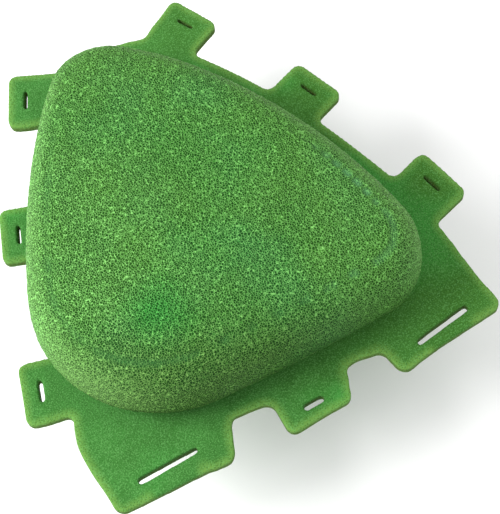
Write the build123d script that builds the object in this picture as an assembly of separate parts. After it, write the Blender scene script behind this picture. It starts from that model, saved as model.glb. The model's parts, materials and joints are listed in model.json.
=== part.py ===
from build123d import *
from math import atan2, cos, hypot, pi, radians, sin, sqrt
import os

# Two-stage foam air filter element, in millimetres.
# Drawing axes: X across the element, Y from its straight edge (y = 0) to its apex, Z up from the underside.

# --- sheet ---------------------------------------------------------------------------------------------
sheet_thickness = 6.0
sheet_half_width = 119.7
sheet_length = 256.8
apex_half_width = 29.0
apex_rise = 4.5
side_radius = 415.0
root_fillet = 5.0

# --- tabs: place along the sheet's edge from its apex, its straight edge, its corner or its middle, way it
# --- points, step from the edge to its fold ---------------------------------------------------------------
tab_layout = {
    "rear": {"below_apex": 16.4, "turn": 24.9, "step": 8.3},
    "middle": {"below_apex": 96.2, "turn": 19.6, "step": 3.2},
    "front": {"above_edge": 66.9, "turn": 15.2, "step": 3.4},
    "corner": {"from_corner": 34.9, "turn": -86.0, "step": -2.7},
    "centre": {"from_middle": 0.0, "turn": -90.0, "step": 2.1},
}
tab_width = 36.0
centre_tab_width = 40.0
corner_tab_width = 70.0
tab_margin = 10.8
centre_tab_margin = 9.0
corner_tab_margin = 10.2
tab_corner_radius = 5.0
corner_tab_radius = 6.0
slot_length = 12.6
long_slot_length = 36.0
slot_width = 3.0
front_slot_width = 3.9
slot_setback = 11.0
front_slot_setback = 8.6
fold_width = 4.6
side_tab_root = 20.0
front_tab_root = 3.0

# --- dome ----------------------------------------------------------------------------------------------
dome_height = 50.0
outer_wall = 10.0
inner_wall = 7.8
layer_gap = 0.2
shoulder_radius = 20.0
smallest_shoulder = 1.5
wall_draft = 1.5
belly_height = 20.0
foot_tuck = 6.0
foot_shift = 4.9
right_corner_radius = 37.3
apex_corner_radius = 34.4
left_corner_radius = 73.3
right_side_radius = 325.0
left_side_radius = 416.0
front_side_radius = 1206.0
right_ledge = 23.1
left_ledge = 3.2
front_ledge_right = 8.9
front_ledge_left = 10.6
apex_ledge = 15.1
apex_lean = -16.2
shoulder_angles = (20, 40, 60, 76, 90)
crown_inset = 17.0
crown_slope = 2.0

# --- glue ----------------------------------------------------------------------------------------------
glue = 0.4
outer_joint_turn = 215.0
inner_joint_turn = 100.0


def arc(centre, radius, start, end):
    """Circular edge about a plan point, from one angle to another, in radians."""
    angles = (start, (start + end) / 2, end)
    points = [(centre[0] + radius * cos(a), centre[1] + radius * sin(a)) for a in angles]
    return ThreePointArc(*points)


def side_circle_centre():
    """Centre of the arc along the sheet's right side, through the apex shoulder and the front corner."""
    x1, y1 = apex_half_width, sheet_length - apex_rise
    x2, y2 = sheet_half_width, 0.0
    half = hypot(x2 - x1, y2 - y1) / 2
    reach = sqrt(side_radius ** 2 - half ** 2)
    return (
        (x1 + x2) / 2 - reach * (y1 - y2) / (2 * half),
        (y1 + y2) / 2 - reach * (x2 - x1) / (2 * half),
    )


def sheet_plan():
    """Outline of the sheet without its tabs."""
    centre = side_circle_centre()
    shoulder = (apex_half_width, sheet_length - apex_rise)
    corner = (sheet_half_width, 0.0)
    start = atan2(corner[1] - centre[1], corner[0] - centre[0])
    end = atan2(shoulder[1] - centre[1], shoulder[0] - centre[0])
    right = arc(centre, side_radius, start, end)
    left = mirror(right, about=Plane.YZ)
    apex = ThreePointArc(shoulder, (0, sheet_length), (-shoulder[0], shoulder[1]))
    front = Line((-corner[0], 0), corner)
    return make_face([front, right, apex, left])


def tab_sizes(name):
    """Width, margin beyond the slot, outer corner radius and setback of the slot from the fold's inner line."""
    if name == "corner":
        return corner_tab_width, corner_tab_margin, corner_tab_radius, front_slot_setback
    if name == "centre":
        return centre_tab_width, centre_tab_margin, tab_corner_radius, front_slot_setback
    return tab_width, tab_margin, tab_corner_radius, slot_setback


def slot_sizes(name):
    """Length and width of one tab's slot."""
    if name == "corner":
        return long_slot_length, front_slot_width
    if name == "centre":
        return slot_length, front_slot_width
    return slot_length, slot_width


def tab_anchor(spot):
    """Point on the sheet's edge that a tab is placed from."""
    if "from_corner" in spot:
        return sheet_half_width - spot["from_corner"], 0.0
    if "from_middle" in spot:
        return spot["from_middle"], 0.0
    y = spot["above_edge"] if "above_edge" in spot else sheet_length - spot["below_apex"]
    centre = side_circle_centre()
    return centre[0] + sqrt(side_radius ** 2 - (y - centre[1]) ** 2), y


def tab_place(name):
    """Location of a tab: origin on the inner line of its fold, local X outward."""
    spot = tab_layout[name]
    turn = radians(spot["turn"])
    x, y = tab_anchor(spot)
    x += spot["step"] * cos(turn)
    y += spot["step"] * sin(turn)
    return Location((x, y, 0), (0, 0, spot["turn"]))


def tab_plan(name):
    """Plan of a tab with its root let into the sheet."""
    width, margin, radius, setback = tab_sizes(name)
    reach = setback + margin
    root = front_tab_root if name in ("corner", "centre") else side_tab_root
    plate = Pos((reach - root) / 2, 0) * Rectangle(reach + root, width)
    plate = fillet(plate.vertices().sort_by(Axis.X)[-2:], radius)
    return tab_place(name) * plate


def tab_zone(name, start, stop):
    """Part of the plan that a tab takes from the sheet, between two distances from its fold's inner line."""
    width = tab_sizes(name)[0]
    side = width + 2 * root_fillet
    return tab_place(name) * (Pos((start + stop) / 2, 0) * Rectangle(stop - start, side))


def slot_plan(name):
    """Round-ended slot that hooks over the support frame's peg."""
    length, width = slot_sizes(name)
    setback = tab_sizes(name)[3]
    return tab_place(name) * (Pos(setback, 0) * SlotOverall(length, width, rotation=90))


def whole_plan():
    """Die-cut shape of the sheet with all its tabs, its inside corners rounded."""
    plan = sheet_plan()
    for name in tab_layout:
        plate = tab_plan(name)
        plan = plan + plate
        if name != "centre":
            plan = plan + mirror(plate, about=Plane.YZ)
    return plan.clean()


def inside_corners(plan):
    """Vertices where a tab's side meets the edge of the sheet, leaving out jogs too short to round."""
    found = []
    for vertex in plan.vertices():
        around = Pos(vertex.X, vertex.Y) * Circle(1.0)
        covered = (plan & around).area / around.area
        sides = [edge.length for edge in plan.edges() if edge.distance_to(vertex) < 0.001]
        if covered > 0.55 and min(sides) > root_fillet:
            found.append(vertex)
    return found


def slab(plan, low, high):
    """Plan raised from one height to another."""
    return Pos(0, 0, low) * extrude(plan, high - low)


def dome_corners():
    """Centres and radii of the dome's three plan corners, and the radii of the sides between them."""
    right = (
        sheet_half_width - right_ledge - right_corner_radius,
        front_ledge_right + right_corner_radius,
    )
    apex = (apex_lean, sheet_length - apex_ledge - apex_corner_radius)
    left = (
        left_ledge - sheet_half_width + left_corner_radius,
        front_ledge_left + left_corner_radius,
    )
    corners = (right, apex, left)
    radii = (right_corner_radius, apex_corner_radius, left_corner_radius)
    sides = (right_side_radius, left_side_radius, front_side_radius)
    return corners, radii, sides


def side_centre(a, radius_a, b, radius_b, side):
    """Centre of the large arc that two corner circles touch from inside."""
    reach_a = side - radius_a
    reach_b = side - radius_b
    span = hypot(b[0] - a[0], b[1] - a[1])
    along = (reach_a ** 2 - reach_b ** 2 + span ** 2) / (2 * span)
    across = sqrt(reach_a ** 2 - along ** 2)
    ux = (b[0] - a[0]) / span
    uy = (b[1] - a[1]) / span
    return (a[0] + ux * along - uy * across, a[1] + uy * along + ux * across)


def dome_outline(inset, shift, height):
    """Rounded triangle of the dome at one height, drawn in from its widest outline."""
    corners, radii, sides = dome_corners()
    centres = [side_centre(corners[i], radii[i], corners[i - 2], radii[i - 2], sides[i]) for i in range(3)]
    edges = []
    for i in range(3):
        corner = corners[i]
        following = corners[i - 2]
        before = centres[i - 1]
        centre = centres[i]
        start = atan2(corner[1] - before[1], corner[0] - before[0])
        turn = atan2(corner[1] - centre[1], corner[0] - centre[0])
        end = atan2(following[1] - centre[1], following[0] - centre[0])
        turn += 2 * pi * (turn < start)
        end += 2 * pi * (end < turn)
        edges.append(arc(corner, radii[i] - inset, start, turn))
        edges.append(arc(centre, sides[i] - inset, turn, end))
    return Pos(shift, 0, height) * make_face(edges)


def dome_solid(depth):
    """Solid inside the dome's outer skin, drawn in by a depth of foam."""
    base = sheet_thickness + glue
    shoulder = max(shoulder_radius - depth, smallest_shoulder)
    level = dome_height - depth - shoulder
    sections = [
        dome_outline(foot_tuck + depth, foot_shift, base),
        dome_outline(0.35 * foot_tuck + depth, 0.45 * foot_shift, base + belly_height / 2),
        dome_outline(depth, 0, base + belly_height),
        dome_outline(wall_draft + depth, 0, base + level),
    ]
    for angle in shoulder_angles:
        drawn = shoulder * (1 - cos(radians(angle)))
        rise = shoulder * sin(radians(angle))
        sections.append(dome_outline(wall_draft + depth + drawn, 0, base + level + rise))
    return loft(sections, ruled=True)


def seam_tool(low, low_inset, high, high_inset):
    """Flaring solid whose sides are the sloping seam between a top panel and its side wall."""
    base = sheet_thickness + glue
    bottom = dome_outline(low_inset, 0, base + low)
    top = dome_outline(high_inset, 0, base + high)
    return loft([bottom, top], ruled=True)


def outer_seam(extra):
    """Steep seam where the outer side wall, rolled over the shoulder, meets its top panel."""
    low = dome_height - outer_wall - 4.0
    high = dome_height + 4.0
    return seam_tool(low, crown_inset + crown_slope - extra, high, crown_inset - crown_slope / 2 - extra)


def inner_seam(extra):
    """Mitre across the inner shoulder, through the centre of the outer shoulder's arc."""
    low = dome_height - shoulder_radius - 2.0
    high = dome_height + 4.0
    inset = wall_draft + shoulder_radius - extra
    return seam_tool(low, inset + 2.0, high, inset + dome_height - shoulder_radius - high)


def joint_slab(turn):
    """Thin upright slab through one side of the dome's wall, where the strip's two ends meet."""
    corners = dome_corners()[0]
    middle = (sum(c[0] for c in corners) / 3, sum(c[1] for c in corners) / 3)
    size = sheet_length
    blade = Pos(size / 2, 0, dome_height / 2) * Box(size, glue, 2 * dome_height + 2 * sheet_thickness)
    return Location((middle[0], middle[1], 0), (0, 0, turn)) * blade


def dome_layer(outer_depth, inner_depth, seam, joint_turn):
    """Side wall, top panel, crown seam glue and wall joint glue of one foam layer."""
    shell = dome_solid(outer_depth) - dome_solid(inner_depth)
    tool = seam(0.0)
    wide_tool = seam(glue)
    blade = joint_slab(joint_turn)
    band = shell - wide_tool
    return {
        "side_wall": band - blade,
        "top_panel": shell & tool,
        "crown_glue": (shell & wide_tool) - tool,
        "wall_joint_glue": band & blade,
    }


def foot_glue():
    """Ring of glue under the foot of both foam layers."""
    foot = dome_outline(foot_tuck, foot_shift, 0)
    mouth = dome_outline(foot_tuck + outer_wall + layer_gap + inner_wall, foot_shift, 0)
    return slab(foot - mouth, sheet_thickness, sheet_thickness + glue)


def sheet_parts():
    """Flange sheet, and the fold and the tab at each place round it."""
    plan = whole_plan()
    plan = fillet(inside_corners(plan), root_fillet)
    mouth = dome_outline(foot_tuck + outer_wall + layer_gap + inner_wall, foot_shift, 0)
    flange = plan - mouth
    parts = {}
    for name in tab_layout:
        _, margin, _, setback = tab_sizes(name)
        end = setback + margin + 1.0
        zone = tab_zone(name, 0, end)
        fold = plan & tab_zone(name, 0, fold_width)
        tab = (plan & tab_zone(name, fold_width, end)) - slot_plan(name)
        flange = flange - zone
        parts[f"{name}_fold"] = slab(fold, 0, sheet_thickness)
        parts[f"{name}_tab"] = slab(tab, 0, sheet_thickness)
        if name == "centre":
            continue
        flange = flange - mirror(zone, about=Plane.YZ)
        for piece in ("fold", "tab"):
            solid = parts.pop(f"{name}_{piece}")
            parts[f"{name}_{piece}_right"] = solid
            parts[f"{name}_{piece}_left"] = mirror(solid, about=Plane.YZ)
    parts["flange_sheet"] = slab(flange, 0, sheet_thickness)
    return parts


def all_parts():
    """Every node, with the origin under the middle of the whole element."""
    parts = sheet_parts()
    parts["foot_glue_line"] = foot_glue()
    middle = outer_wall + layer_gap
    for piece, solid in dome_layer(0.0, outer_wall, outer_seam, outer_joint_turn).items():
        parts[f"outer_{piece}"] = solid
    for piece, solid in dome_layer(middle, middle + inner_wall, inner_seam, inner_joint_turn).items():
        parts[f"inner_{piece}"] = solid
    box = Compound([solid for solid in parts.values()]).bounding_box()
    move = Pos(-(box.min.X + box.max.X) / 2, -(box.min.Y + box.max.Y) / 2, -box.min.Z)
    return {name: move * solid for name, solid in parts.items()}


os.makedirs("parts", exist_ok=True)
for node, shape in all_parts().items():
    export_step(shape, f"parts/{node}.step")
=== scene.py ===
import bpy
import json
import math
import numpy as np
from mathutils import Matrix, Vector, kdtree, noise


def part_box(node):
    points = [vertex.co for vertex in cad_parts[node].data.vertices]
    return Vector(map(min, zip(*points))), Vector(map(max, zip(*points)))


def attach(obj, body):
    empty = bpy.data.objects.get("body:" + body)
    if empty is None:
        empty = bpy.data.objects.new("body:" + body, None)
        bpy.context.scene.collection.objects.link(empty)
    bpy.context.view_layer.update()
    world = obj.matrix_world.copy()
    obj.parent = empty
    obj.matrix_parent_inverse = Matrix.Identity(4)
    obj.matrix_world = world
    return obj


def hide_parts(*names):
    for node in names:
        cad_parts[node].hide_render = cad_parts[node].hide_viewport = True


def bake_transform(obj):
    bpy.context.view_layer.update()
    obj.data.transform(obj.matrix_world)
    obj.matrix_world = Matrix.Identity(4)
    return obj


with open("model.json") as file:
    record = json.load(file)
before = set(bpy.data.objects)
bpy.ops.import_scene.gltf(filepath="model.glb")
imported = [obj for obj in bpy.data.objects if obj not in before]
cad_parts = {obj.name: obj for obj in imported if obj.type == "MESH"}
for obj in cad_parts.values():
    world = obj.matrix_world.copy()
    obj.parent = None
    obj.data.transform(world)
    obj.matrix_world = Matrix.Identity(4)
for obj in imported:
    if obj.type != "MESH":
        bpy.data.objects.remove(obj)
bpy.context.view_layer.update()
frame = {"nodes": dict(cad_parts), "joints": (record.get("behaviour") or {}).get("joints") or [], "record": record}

print("frame loaded")

filterBody = "element"
mergeGap = 0.00002                                  # points nearer than this are one point
square = 0.999                                      # a normal this much along a line is taken as on it
bpy.context.scene.view_settings.view_transform = "Standard"


# selecting and finishing, as used by every piece

def selectOnly(*objects):
    bpy.ops.object.select_all(action="DESELECT")
    for each in objects:
        each.select_set(True)
    bpy.context.view_layer.objects.active = objects[0]


def finishWith(piece, kind, **settings):            # one modifier, set and applied
    selectOnly(piece)
    modifier = piece.modifiers.new(kind.lower(), kind)
    for key, value in settings.items():
        setattr(modifier, key, value)
    bpy.ops.object.modifier_apply(modifier=modifier.name)


def copyOfNodes(name, nodes):                       # one mesh from the touching solids of several nodes
    copies = []
    for node in nodes:
        copy = bpy.data.objects.new(name, frame["nodes"][node].data.copy())
        copy.data.materials.clear()
        bpy.context.scene.collection.objects.link(copy)
        copies.append(copy)
    selectOnly(*copies)
    if len(copies) > 1:
        bpy.ops.object.join()
    piece = bpy.context.object
    piece.name = name
    bpy.ops.object.mode_set(mode="EDIT")
    bpy.ops.mesh.select_all(action="SELECT")
    bpy.ops.mesh.remove_doubles(threshold=mergeGap)
    bpy.ops.object.mode_set(mode="OBJECT")
    return piece


def selectFaces(piece, chosen):                     # goes into edit mode with just these faces selected
    selectOnly(piece)
    bpy.context.tool_settings.mesh_select_mode = (False, False, True)
    piece.data.vertices.foreach_set("select", np.zeros(len(piece.data.vertices), bool))
    piece.data.edges.foreach_set("select", np.zeros(len(piece.data.edges), bool))
    piece.data.polygons.foreach_set("select", chosen)
    bpy.ops.object.mode_set(mode="EDIT")


def separateSelected(piece, name):                  # what is selected becomes a piece of its own
    bpy.ops.mesh.separate(type="SELECTED")
    bpy.ops.object.mode_set(mode="OBJECT")
    part = [o for o in bpy.context.selected_objects if o != piece][0]
    part.name = name
    return part


def cover(piece, material):
    piece.data.materials.clear()
    piece.data.materials.append(material)
    selectOnly(piece)
    bpy.ops.object.shade_smooth()


# reading and moving the points of a mesh

def readAll(items, key):
    flat = np.empty(len(items) * 3)
    items.foreach_get(key, flat)
    return flat.reshape(-1, 3)


def pointsOf(piece):
    return readAll(piece.data.vertices, "co")


def normalsOf(piece):
    return readAll(piece.data.vertices, "normal")


def facesOf(piece):                                 # middle and normal of every face
    return readAll(piece.data.polygons, "center"), readAll(piece.data.polygons, "normal")


def movePoints(piece, points):
    piece.data.vertices.foreach_set("co", points.ravel())
    piece.data.update()


def paint(piece, name, values):                     # a value per point, for the materials to read
    attribute = piece.data.attributes.new(name, "FLOAT", "POINT")
    attribute.data.foreach_set("value", values.astype(np.float32))


def stepUp(values, low, high):                      # 0 below low, 1 above high, smooth between
    t = np.clip((values - low) / (high - low), 0, 1)
    return t * t * (3 - 2 * t)


def bell(values, reach):                            # 1 at nought, fading to nothing past the reach
    return np.exp(-(values / reach) ** 2)


def distanceTo(points, targets):                    # from each point to the nearest target
    tree = kdtree.KDTree(len(targets))
    for i, target in enumerate(targets):
        tree.insert(target, i)
    tree.balance()
    return np.array([tree.find(p)[2] for p in points])


def pull(points, pulls):                            # soft local moves, each with a place, a reach and a move
    for place, reach, move in pulls:
        axes = len(place)
        gap = np.linalg.norm(points[:, :axes] - np.array(place), axis=1)
        points[:, :axes] += bell(gap, reach)[:, None] * np.array(move)


def waver(points, scale, height):                   # a gentle rise and fall
    for i, p in enumerate(points):
        points[i, 2] += noise.noise(Vector(p) * scale) * height


# materials

class Wire:                                         # one socket of a material, with arithmetic on it
    def __init__(self, tree, socket=None):
        self.tree = tree
        self.socket = socket

    def add(self, kind, settings=None, values=None, out=0):
        node = self.tree.nodes.new(kind)
        for key, value in (settings or {}).items():
            setattr(node, key, value)
        for key, value in (values or {}).items():
            if isinstance(value, Wire):
                self.tree.links.new(value.socket, node.inputs[key])
            else:
                node.inputs[key].default_value = value
        return Wire(self.tree, node.outputs[out])

    def work(self, operation, first, second):
        vectors = [s for s in (first, second) if isinstance(s, Wire) and s.socket.type != "VALUE"]
        kind = "ShaderNodeVectorMath" if vectors else "ShaderNodeMath"
        if vectors:
            first, second = [s if isinstance(s, (Wire, tuple)) else (s, s, s) for s in (first, second)]
        return self.add(kind, {"operation": operation}, {0: first, 1: second})

    def __add__(self, other):
        return self.work("ADD", self, other)

    def __radd__(self, other):
        return self.work("ADD", other, self)

    def __sub__(self, other):
        return self.work("SUBTRACT", self, other)

    def __rsub__(self, other):
        return self.work("SUBTRACT", other, self)

    def __mul__(self, other):
        return self.work("MULTIPLY", self, other)

    def step(self, low, high):                      # 0 below low, 1 above high, smooth between
        return self.add("ShaderNodeMapRange", {"interpolation_type": "SMOOTHSTEP"},
                        {"Value": self, "From Min": low, "From Max": high})

    def into(self, first, second):                  # from the first colour to the second as this goes to 1
        first, second = [s if isinstance(s, Wire) else (*s, 1) for s in (first, second)]
        return self.add("ShaderNodeMix", {"data_type": "RGBA"}, {0: self, 6: first, 7: second}, out=2)

    def axis(self, number):
        return self.add("ShaderNodeSeparateXYZ", None, {0: self}, out=number)

    def noise(self, scale, detail, out=0):
        return self.add("ShaderNodeTexNoise", None, {"Vector": self, "Scale": scale, "Detail": detail}, out)

    def cells(self, size, feature="F1"):
        return self.add("ShaderNodeTexVoronoi", {"feature": feature}, {"Vector": self, "Scale": 1 / size})

    def painted(self, name):
        return self.add("ShaderNodeAttribute", {"attribute_name": name}, None, out=2)

    def distance(self, spot):
        return self.add("ShaderNodeVectorMath", {"operation": "DISTANCE"}, {0: self, 1: spot}, out=1)

    def plugInto(self, socket):
        self.tree.links.new(self.socket, socket)


def newMaterial(name, look):                        # the material, its shader and the place of each point
    material = bpy.data.materials.new(name)
    material.use_nodes = True
    tree = material.node_tree
    shader = tree.nodes["Principled BSDF"]
    shader.inputs["Roughness"].default_value = look["roughness"]
    shader.inputs["Specular IOR Level"].default_value = look["specular"]
    return material, shader, Wire(tree).add("ShaderNodeTexCoord", out=3)


def dress(shader, look, colour, height):            # colour and bump on the shader
    colour.plugInto(shader.inputs["Base Color"])
    strength, distance = look["bump"]
    bump = height.add("ShaderNodeBump", None, {"Height": height, "Strength": strength, "Distance": distance})
    bump.plugInto(shader.inputs["Normal"])


coarseLook = {
    "roughness": 0.7, "specular": 0.10, "bump": (0.8, 0.0010), "strutHeight": 0.9, "grainHeight": 0.3,
    # pores and struts, and a second layer of pores seen through the first
    "pore": 0.00130, "underPore": 0.00104, "underShift": (0.01, 0.02, 0.03),
    "wander": 0.0006, "wanderScale": 600.0, "grainScale": 1300.0,
    "hollowAt": (0.15, 0.28), "strutAt": (0.03, 0.13), "deepAt": (0.02, 0.12), "grainAt": (0.40, 0.62),
    # slow changes over the dome, where they lie and how they slant
    "cloudScale": 26.0, "cloudAt": (0.35, 0.7), "cloudReach": 0.03,
    "driftScale": 9.0, "driftAt": (0.4, 0.6), "driftShift": 0.3,
    "leftAt": (-0.09, 0.01), "footAt": (0.045, 0.015),
    "backAt": (0.02, 0.11), "backSlant": 0.4, "frontAt": (-0.125, -0.075), "frontSlant": 0.35,
    "patchAt": (-0.055, -0.068, 0.056), "patchSize": 0.028, "patchCore": 0.2,
    # the glue of the crown seam: where it fades out, smears, and comes through in clouds
    "glueFades": (0.010, 0.045), "glueSlant": 0.8, "smearAt": (0.01, 0.06), "glueCloudAt": (0.40, 0.60),
    # colours of the walls of the foam, with painted shade for the front and painted light for the sides
    "wall": (0.034, 0.185, 0.018), "cool": (0.026, 0.195, 0.046), "warm": (0.080, 0.215, 0.022),
    "low": (0.036, 0.115, 0.012), "fresh": (0.008, 0.20, 0.020), "pale": (0.23, 0.50, 0.13),
    # colours of the pores, near black as painted shade in their depths, of the struts, darker on the front as
    # painted shade, and of the glue
    "pit": (0.003, 0.028, 0.002), "strut": (0.31, 0.74, 0.20), "freshStrut": (0.06, 0.58, 0.10),
    "lowStrut": (0.22, 0.40, 0.10), "glue": (0.045, 0.18, 0.045), "smear": (0.15, 0.44, 0.19),
    # how strongly each of them shows
    "share": {"cool": 0.6, "drift": 0.4, "back": 0.6, "low": 0.6, "fresh": 0.7, "pale": 0.45,
              "pit": 0.93, "pitDeep": 0.35, "pitPale": 0.15, "freshStrut": 0.6, "lowStrut": 0.8,
              "glint": 0.30, "glintGrain": 0.26, "glintLeft": 0.34, "glintFoot": 0.2,
              "glue": 0.2, "glueCloud": 0.3}}


def coarseFoam():
    look = coarseLook
    share = look["share"]
    material, shader, place = newMaterial("coarseFoam", look)
    x, y, z = [place.axis(number) for number in range(3)]
    wander = place.noise(look["wanderScale"], 2.0, out=1)
    spot = place + (wander - 0.5) * look["wander"]
    ridge = spot.cells(look["pore"], "DISTANCE_TO_EDGE")
    under = (spot + look["underShift"]).cells(look["underPore"], "DISTANCE_TO_EDGE")
    grains = place.noise(look["grainScale"], 1.0)
    cloud = place.noise(look["cloudScale"], 3.0)
    drift = (place + look["driftShift"]).noise(look["driftScale"], 2.0)
    pale = place.painted("pale")
    seam = place.painted("seam")

    # where each change of tone lies
    hollow = ridge.step(*look["hollowAt"])
    strut = 1 - ridge.step(*look["strutAt"])
    deep = 1 - under.step(*look["deepAt"])
    leftSide = 1 - (x + cloud * look["cloudReach"]).step(*look["leftAt"])
    backSide = (y + x * look["backSlant"]).step(*look["backAt"])
    # painted shade: the front of the dome, facing away from the light, is darker
    shadedFront = 1 - (y + x * look["frontSlant"]).step(*look["frontAt"])
    patchGap = place.distance(look["patchAt"]) + (cloud - 0.5) * look["cloudReach"]
    patch = 1 - patchGap.step(look["patchCore"] * look["patchSize"], look["patchSize"])

    # the walls of the foam, with painted shade on the front and painted light on the sides, then the pores in
    # them, painted dark as shade
    body = (cloud.step(*look["cloudAt"]) * share["cool"]).into(look["wall"], look["cool"])
    body = (drift.step(*look["driftAt"]) * share["drift"] + backSide * share["back"]).into(body, look["warm"])
    # painted shade on the front
    body = (shadedFront * share["low"]).into(body, look["low"])
    body = (patch * share["fresh"]).into(body, look["fresh"])
    # painted light: the sides that face sideways and upwards are lightened
    body = (pale * share["pale"]).into(body, look["pale"])
    # the pores are painted near black as shade in their depths, less so where deeper pores show through and where
    # the sides have painted light
    darkness = share["pit"] - deep * share["pitDeep"] - pale * share["pitPale"]
    poreShaded = (hollow * darkness).into(body, look["pit"])

    # struts that catch the light, less so near the foot
    sparkle = grains.step(*look["grainAt"]) * (share["glintGrain"] + leftSide * share["glintLeft"])
    glint = share["glint"] + sparkle - z.step(*look["footAt"]) * share["glintFoot"]
    strutTone = (patch * share["freshStrut"]).into(look["strut"], look["freshStrut"])
    # painted shade: the struts on the front are darker
    strutTone = (shadedFront * share["lowStrut"]).into(strutTone, look["lowStrut"])
    colour = (strut * glint).into(poreShaded, strutTone)

    # the glue of the crown seam, soaked in unevenly
    glueTone = x.step(*look["smearAt"]).into(look["glue"], look["smear"])
    shown = 1 - (y + x * look["glueSlant"]).step(*look["glueFades"])
    soaked = share["glue"] + cloud.step(*look["glueCloudAt"]) * share["glueCloud"]
    colour = (seam * shown * soaked).into(colour, glueTone)
    dress(shader, look, colour, strut * look["strutHeight"] - hollow + grains * look["grainHeight"])
    return material


fineLook = {"roughness": 0.85, "specular": 0.10, "bump": (0.7, 0.0004), "cell": 0.0011, "grainScale": 1400.0,
            "mottleScale": 60.0, "blotchScale": 13.0, "cellAt": (0.15, 0.5), "grainAt": (0.45, 0.68),
            "mottleAt": (0.35, 0.7), "blotchAt": (0.5, 0.68), "rightAt": (-0.06, 0.12),
            # colours, with an olive tint darkened as painted shade, a painted highlight for the rims and a brown
            # tint darkened as painted shade for the cut walls
            "face": (0.044, 0.178, 0.031), "dark": (0.024, 0.105, 0.014), "fresh": (0.040, 0.26, 0.040),
            "olive": (0.042, 0.132, 0.012), "rim": (0.17, 0.33, 0.065), "side": (0.060, 0.085, 0.012),
            "light": (0.13, 0.36, 0.10), "cellHeight": 0.7, "grainHeight": 0.8,
            # how strongly each tone shows, and last the dark of the cells
            "share": {"dark": 0.5, "olive": 0.65, "fresh": 0.65, "rim": 0.65, "side": 0.85, "light": 0.48,
                      "cell": 0.65}}


def fineFoam():
    look = fineLook
    share = look["share"]
    material, shader, place = newMaterial("fineFoam", look)
    mottle = place.noise(look["mottleScale"], 4.0)
    blotch = place.noise(look["blotchScale"], 2.0)
    grain = place.noise(look["grainScale"], 1.0)
    cell = place.cells(look["cell"])
    body = (mottle.step(*look["mottleAt"]) * share["dark"]).into(look["face"], look["dark"])
    # an olive tint towards the right, darkened as painted shade from the dome
    body = (place.axis(0).step(*look["rightAt"]) * share["olive"]).into(body, look["olive"])
    body = (blotch.step(*look["blotchAt"]) * share["fresh"]).into(body, look["fresh"])
    # painted highlight on the rim along the cut edges
    body = (place.painted("rim") * share["rim"]).into(body, look["rim"])
    # the cut walls: a brown tint and painted shade
    body = (place.painted("wall") * share["side"]).into(body, look["side"])
    body = (grain.step(*look["grainAt"]) * share["light"]).into(body, look["light"])
    colour = ((1 - cell.step(*look["cellAt"])) * share["cell"]).into(body, look["dark"])
    dress(shader, look, colour, cell * look["cellHeight"] + grain * look["grainHeight"])
    return material


glueLook = {"roughness": 0.5, "specular": 0.25, "bump": (0.4, 0.0005), "lumpScale": 260.0,
            "lumpAt": (0.3, 0.7), "thin": (0.07, 0.20, 0.03), "thick": (0.16, 0.33, 0.09)}


def glueSkin():
    look = glueLook
    material, shader, place = newMaterial("glueSkin", look)
    lumps = place.noise(look["lumpScale"], 3.0)
    dress(shader, look, lumps.step(*look["lumpAt"]).into(look["thin"], look["thick"]), lumps)
    return material


# the sheet: flange and nine slotted tabs, cut from one piece

sheetFoam = {
    "voxel": 0.0011, "smoothing": 3, "rimReach": 0.006, "wave": 0.0006, "waveScale": 22,
    "foldMargin": 0.001, "cutMargin": 0.003, "cutBand": 0.004,
    # what counts as a cut edge, and how the brown tint and painted shade of the cut walls come in by tilt and by
    # depth below the top
    "uprightBelow": 0.35, "slotMargin": 0.001, "wallTilt": (0.45, 0.95), "wallDepth": (0.0005, 0.0025),
    # where handling has pulled the soft sheet out of true: place, reach, move
    "pulls": (((-0.122, -0.091), 0.017, (-0.0050, 0.0)), ((-0.118, -0.112), 0.016, (-0.0026, 0.0)),
              ((-0.036, -0.126), 0.016, (0.0005, 0.0030)), ((-0.0485, -0.1245), 0.009, (0.0046, 0.0020)),
              ((0.053, -0.143), 0.014, (0.0, -0.0018)), ((0.047, -0.126), 0.011, (-0.0015, -0.0025)),
              ((0.021, -0.127), 0.009, (0.0044, -0.0015)), ((0.131, -0.040), 0.024, (0.0013, 0.0024)),
              ((0.042, 0.139), 0.014, (-0.0005, -0.0024)), ((0.025, 0.130), 0.010, (0.0034, -0.0020)),
              ((-0.065, 0.106), 0.012, (-0.0008, -0.0020)), ((0.121, -0.109), 0.020, (-0.0015, 0.0008)),
              ((-0.135, -0.071), 0.012, (-0.0008, -0.0015)), ((-0.018, -0.145), 0.014, (0.0, -0.0012)),
              ((-0.070, -0.143), 0.020, (0.0, 0.0008))),
    # how far each slot is pinched shut, less so at its top, and how that fades
    "pinch": {"rear_slot_right": 1.0, "rear_slot_left": 1.0, "middle_slot_right": 1.0,
              "middle_slot_left": 0.9, "front_slot_right": 1.0, "front_slot_left": 0.35,
              "corner_slot_right": 0.2, "corner_slot_left": 0.2, "centre_slot": 0.25},
    "openTop": 0.75, "openFrom": (0.0005, 0.0055), "pinchReach": 0.0045, "slotFade": 0.005,
    # how far the left and right ends of a slot have drifted along y
    "drift": {"corner_slot_right": (-0.0022, 0.0003), "corner_slot_left": (0.0019, 0.0046)},
    "driftReach": 0.0065}


def foldsOfTabs():                                  # where each tab bends, from the joints
    folds = []
    for joint in frame["joints"]:
        node = joint["deforming_nodes"][0]["node"]
        pivot = np.array(joint["pos_m"])
        along = np.array(joint["axis"])
        outward = np.cross((0, 0, 1), along)
        mesh = pointsOf(frame["nodes"][node]) - pivot
        folds.append({"tab": joint["child"], "fold": node, "pivot": pivot, "outward": outward, "along": along,
                      "start": (mesh @ outward).min(), "end": (mesh @ outward).max(),
                      "half": np.abs(mesh @ along).max() + sheetFoam["foldMargin"]})
    return folds


def fromFold(places, f):                            # how far outward of the fold, and how far to its side
    gap = places - f["pivot"]
    return gap @ f["outward"], np.abs(gap @ f["along"])


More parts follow.
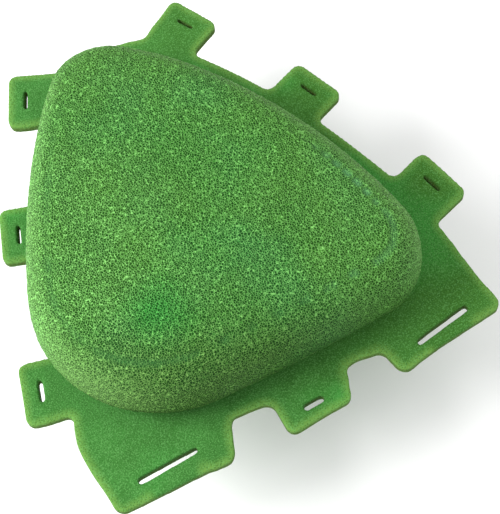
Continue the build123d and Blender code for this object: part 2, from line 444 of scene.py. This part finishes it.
def wholeSheet(folds):
    nodes = ["flange_sheet"] + [f["fold"] for f in folds] + [f["tab"] for f in folds]
    sheet = copyOfNodes("flangeFoam", nodes)
    middles, normals = facesOf(sheet)
    inner = np.zeros(len(middles), bool)
    for f in folds:                                 # the faces where the solids meet
        outward, aside = fromFold(middles, f)
        across = np.abs(normals @ f["outward"]) > square
        for line in (f["start"], f["end"]):
            inner |= across & (aside < f["half"]) & (np.abs(outward - line) < mergeGap)
    selectFaces(sheet, inner)
    bpy.ops.mesh.delete(type="ONLY_FACE")
    bpy.ops.object.mode_set(mode="OBJECT")
    pattern = sheet.copy()
    pattern.data = sheet.data.copy()
    bpy.context.scene.collection.objects.link(pattern)
    finishWith(sheet, "REMESH", mode="VOXEL", voxel_size=sheetFoam["voxel"])
    finishWith(sheet, "SHRINKWRAP", target=pattern, wrap_method="NEAREST_SURFACEPOINT")
    finishWith(sheet, "SMOOTH", factor=0.5, iterations=sheetFoam["smoothing"])
    bpy.data.objects.remove(pattern)
    return sheet


def slots():                                        # name, middle and half length of each slot
    return [(m["name"], np.array(m["pos_m"]), m["dims"]["slot_length_mm"] / 2000)
            for m in frame["record"]["mounts"] if "slot" in m["name"]]


def wearSlot(points, folds, name, middle, half):
    pinch = sheetFoam["pinch"][name]
    leftDrift, rightDrift = sheetFoam["drift"].get(name, (0.0, 0.0))
    fold = min(folds, key=lambda f: np.linalg.norm(f["pivot"] - middle))
    gap = points - middle
    across = gap @ fold["outward"]
    window = 1 - stepUp(np.abs(gap @ fold["along"]), half, half + sheetFoam["slotFade"])
    closing = pinch * (1 - sheetFoam["openTop"] * stepUp(points[:, 2], *sheetFoam["openFrom"]))
    squeeze = -across * closing * bell(across, sheetFoam["pinchReach"]) * window
    drift = leftDrift + (rightDrift - leftDrift) * np.clip(gap[:, 0] / half / 2 + 0.5, 0, 1)
    points += squeeze[:, None] * fold["outward"]
    points[:, 1] += drift * bell(across, sheetFoam["driftReach"]) * window


def paintSheet(sheet, points):                      # the cut edges, and the rim just inside them
    upright = np.abs(normalsOf(sheet)[:, 2])
    edge = points[upright < sheetFoam["uprightBelow"]]
    keep = np.ones(len(edge), bool)
    for _, middle, half in slots():
        gap = np.linalg.norm(edge[:, :2] - middle[:2], axis=1)
        keep &= gap > half + sheetFoam["slotMargin"]
    edge = edge[keep][::3]                          # every third point is close enough
    edge[:, 2] = 0
    flat = points.copy()
    flat[:, 2] = 0
    # painted highlight on the rim along the cut edges
    paint(sheet, "rim", 1 - stepUp(distanceTo(flat, edge), 0.0, sheetFoam["rimReach"]))
    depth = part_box("flange_sheet")[1].z - points[:, 2]
    # the cut walls, for a brown tint and painted shade, by tilt and by depth below the top
    paint(sheet, "wall", stepUp(1 - upright, *sheetFoam["wallTilt"]) * stepUp(depth, *sheetFoam["wallDepth"]))


def shapeSheet(sheet, folds):
    points = pointsOf(sheet)
    paintSheet(sheet, points)
    pull(points, sheetFoam["pulls"])
    for name, middle, half in slots():
        wearSlot(points, folds, name, middle, half)
    waver(points, sheetFoam["waveScale"], sheetFoam["wave"])
    movePoints(sheet, points)


def cutOffTab(sheet, f):
    line = f["start"]
    band = sheetFoam["cutBand"]
    reach = f["half"] + sheetFoam["cutMargin"]
    outward, aside = fromFold(facesOf(sheet)[0], f)
    selectFaces(sheet, (aside < reach) & (outward > line - band) & (outward < line + band))
    bpy.ops.mesh.bisect(plane_co=f["pivot"] + f["outward"] * line, plane_no=f["outward"])
    bpy.ops.object.mode_set(mode="OBJECT")
    outward, aside = fromFold(facesOf(sheet)[0], f)
    selectFaces(sheet, (aside < reach) & (outward > line))
    first, *others = f["tab"].split("_")
    return separateSelected(sheet, first + "".join(word.title() for word in others) + "Foam")


def closeCuts(piece):
    selectOnly(piece)
    bpy.context.tool_settings.mesh_select_mode = (False, True, False)
    bpy.ops.object.mode_set(mode="EDIT")
    bpy.ops.mesh.select_all(action="DESELECT")
    bpy.ops.mesh.select_non_manifold(extend=False, use_wire=False, use_multi_face=False,
                                     use_non_contiguous=False, use_verts=False)
    bpy.ops.mesh.mark_sharp()
    bpy.ops.mesh.fill_holes(sides=0)
    bpy.ops.object.mode_set(mode="OBJECT")


def buildSheet(material):
    folds = foldsOfTabs()
    sheet = wholeSheet(folds)
    shapeSheet(sheet, folds)
    cover(sheet, material)
    tabs = [cutOffTab(sheet, f) for f in folds]
    closeCuts(sheet)
    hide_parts("flange_sheet")
    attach(sheet, filterBody)
    for tab, f in zip(tabs, folds):
        closeCuts(tab)
        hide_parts(f["fold"], f["tab"])
        start = f["pivot"] + f["outward"] * f["start"]
        end = f["pivot"] + f["outward"] * f["end"]
        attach(tab, f["tab"])
        tab.parent = None                           # the tab is left without a parent
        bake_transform(tab)
    print("sheet and tabs built")


# the dome: coarse foam outside, fine foam inside

domeFoam = {"voxel": 0.0020, "smoothing": 14,
            # the top stands a little proud of flat and has sunk at the narrow end: place, reach, move
            "crown": 0.0025, "crownFall": 0.022, "crownSpread": 2.1,
            "pulls": (((-0.010, 0.108, 0.050), 0.030, (0.0, -0.0024, -0.0018)),),
            # the crease along the crown seam
            "seamCore": 0.0003, "seamWidth": 0.0034, "seamDepth": 0.0009,
            "seamGlueBand": 0.004, "seamBand": 0.008, "seamUp": (0.2, 0.6),
            # the sides lightened with painted light, by how far they face sideways and upwards
            "paleSide": (0.15, 0.9), "paleUp": (-0.3, 0.1),
            "pore": 0.0021, "poreMiddle": 0.45, "roughening": 0.0007}


def domeShell(name, nodes):
    shell = copyOfNodes(name, nodes)
    finishWith(shell, "REMESH", mode="VOXEL", voxel_size=domeFoam["voxel"])
    finishWith(shell, "SMOOTH", factor=0.5, iterations=domeFoam["smoothing"])
    return shell


def raiseCrown(points, roof):
    low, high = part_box("outer_side_wall")
    middle = (low + high) / 2
    aside = (points[:, 0] - middle.x) / (high.x - low.x)
    along = (points[:, 1] - middle.y) / (high.y - low.y)
    spread = np.hypot(aside, along)
    raised = stepUp(points[:, 2], roof - domeFoam["crownFall"], roof)
    points[:, 2] += raised * domeFoam["crown"] * np.clip(1 - (domeFoam["crownSpread"] * spread) ** 2, 0, 1)


def pressSeam(dome, points, normals, roof):
    glue = pointsOf(frame["nodes"]["outer_crown_glue"])
    toSeam = distanceTo(points, glue[glue[:, 2] > roof - domeFoam["seamGlueBand"]])
    outside = stepUp(normals[:, 2], *domeFoam["seamUp"]) * (points[:, 2] > roof - domeFoam["seamBand"])
    crease = (1 - stepUp(toSeam, domeFoam["seamCore"], domeFoam["seamWidth"])) * outside
    paint(dome, "seam", crease)
    points -= normals * (crease * domeFoam["seamDepth"])[:, None]


def roughen(points, normals):
    for i, p in enumerate(points):
        toCell = noise.voronoi(Vector(p) / domeFoam["pore"])[0][0]
        points[i] += normals[i] * ((toCell - domeFoam["poreMiddle"]) * domeFoam["roughening"])


def buildDome(material):
    nodes = ["outer_side_wall", "outer_top_panel", "outer_crown_glue", "outer_wall_joint_glue"]
    dome = domeShell("coarseDome", nodes)
    finishWith(dome, "SUBSURF", levels=1, render_levels=1)      # fine enough for the pores
    points = pointsOf(dome)
    normals = normalsOf(dome)
    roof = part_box("outer_top_panel")[1].z
    raiseCrown(points, roof)
    pull(points, domeFoam["pulls"])
    steep = np.maximum(np.abs(normals[:, 0]), normals[:, 1])
    # painted light on the sides that face sideways and upwards
    paint(dome, "pale", stepUp(steep, *domeFoam["paleSide"]) * stepUp(normals[:, 2], *domeFoam["paleUp"]))
    pressSeam(dome, points, normals, roof)
    roughen(points, normals)
    movePoints(dome, points)
    cover(dome, material)
    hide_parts(*nodes)
    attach(dome, filterBody)
    print("outer dome built")


def buildLining(material):
    nodes = ["inner_side_wall", "inner_top_panel", "inner_crown_glue", "inner_wall_joint_glue"]
    lining = domeShell("fineLining", nodes)
    cover(lining, material)
    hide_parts(*nodes)
    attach(lining, filterBody)
    print("lining built")


# the bead of glue squeezed out along the foot of the dome

beadOfGlue = {"radius": 0.0006, "rounding": 2, "lumps": 0.0003, "lumpScale": 160}


def buildBead(material):
    ring = copyOfNodes("footRing", ["foot_glue_line"])
    _, normals = facesOf(ring)
    selectFaces(ring, normals[:, 2] > square)       # the flat top of the ring
    bpy.ops.mesh.region_to_loop()
    bead = separateSelected(ring, "footGlueBead")
    bpy.data.objects.remove(ring)
    selectOnly(bead)
    bpy.ops.object.convert(target="CURVE")
    bead.data.bevel_depth = beadOfGlue["radius"]
    bead.data.bevel_resolution = beadOfGlue["rounding"]
    bpy.ops.object.convert(target="MESH")
    points = pointsOf(bead)
    waver(points, beadOfGlue["lumpScale"], beadOfGlue["lumps"])
    movePoints(bead, points)
    cover(bead, material)
    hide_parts("foot_glue_line")
    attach(bead, filterBody)
    print("glue bead built")


# studio

cameraSetup = {"target": (0.0123, -0.0402, 0.006), "azimuth": 22.2, "elevation": 64.12, "roll": -7.3,
               "distance": 0.7476, "lens": 91.05}


def addCamera():
    azimuth = math.radians(cameraSetup["azimuth"])
    elevation = math.radians(cameraSetup["elevation"])
    level = math.cos(elevation)
    forward = Vector((math.sin(azimuth) * level, math.cos(azimuth) * level, -math.sin(elevation)))
    data = bpy.data.cameras.new("studioCamera")
    data.lens = cameraSetup["lens"]
    camera = bpy.data.objects.new("studioCamera", data)
    bpy.context.scene.collection.objects.link(camera)
    turn = forward.to_track_quat("-Z", "Y").to_matrix().to_4x4()
    roll = Matrix.Rotation(math.radians(cameraSetup["roll"]), 4, "Z")
    spot = Vector(cameraSetup["target"]) - forward * cameraSetup["distance"]
    camera.matrix_world = Matrix.Translation(spot) @ turn @ roll
    bpy.context.scene.camera = camera


# the floor lies low, and the filter stands on a riser, so that tabs bent down stay clear
studio = {"floorSize": 6, "drop": 0.075, "riser": 0.055, "riserEdge": 0.003, "clear": 0.0002,
          "floor": (0.93, 0.93, 0.93, 1), "floorRoughness": 0.9, "room": (1, 1, 1, 1), "roomLight": 0.8,
          # each lamp's place, size and power
          "lamps": {"keyLamp": ((-0.95, 0.30, 0.85), 0.7, 22), "fillLamp": ((0.5, -0.6, 1.1), 1.2, 4)}}


def addFloor():
    bpy.ops.object.select_all(action="DESELECT")
    bpy.ops.mesh.primitive_plane_add(size=studio["floorSize"], location=(0, 0, -studio["drop"]))
    floor = bpy.context.object
    floor.name = "floor"
    height = studio["drop"] - studio["clear"]
    bpy.ops.mesh.primitive_cylinder_add(vertices=96, radius=studio["riser"], depth=height,
                                        location=(0, 0, height / 2 - studio["drop"]))
    riser = bpy.context.object
    riser.name = "riser"
    bpy.ops.object.mode_set(mode="EDIT")
    bpy.ops.mesh.bevel(offset=studio["riserEdge"], segments=3)
    bpy.ops.object.mode_set(mode="OBJECT")
    material = bpy.data.materials.new("paleFloor")
    material.use_nodes = True
    shader = material.node_tree.nodes["Principled BSDF"]
    shader.inputs["Base Color"].default_value = studio["floor"]
    shader.inputs["Roughness"].default_value = studio["floorRoughness"]
    for each in (floor, riser):
        each.data.materials.append(material)


def addLights():
    for name, (place, size, power) in studio["lamps"].items():
        data = bpy.data.lights.new(name, "AREA")
        data.energy = power
        data.size = size
        lamp = bpy.data.objects.new(name, data)
        lamp.location = place
        lamp.rotation_euler = (-Vector(place)).to_track_quat("-Z", "Y").to_euler()
        bpy.context.scene.collection.objects.link(lamp)
    world = bpy.data.worlds.new("softRoom")
    world.use_nodes = True
    background = world.node_tree.nodes["Background"]
    background.inputs["Color"].default_value = studio["room"]
    background.inputs["Strength"].default_value = studio["roomLight"]
    bpy.context.scene.world = world


fine = fineFoam()
buildSheet(fine)
buildDome(coarseFoam())
buildLining(fine)
buildBead(glueSkin())
addCamera()
addFloor()
addLights()
print("studio ready")
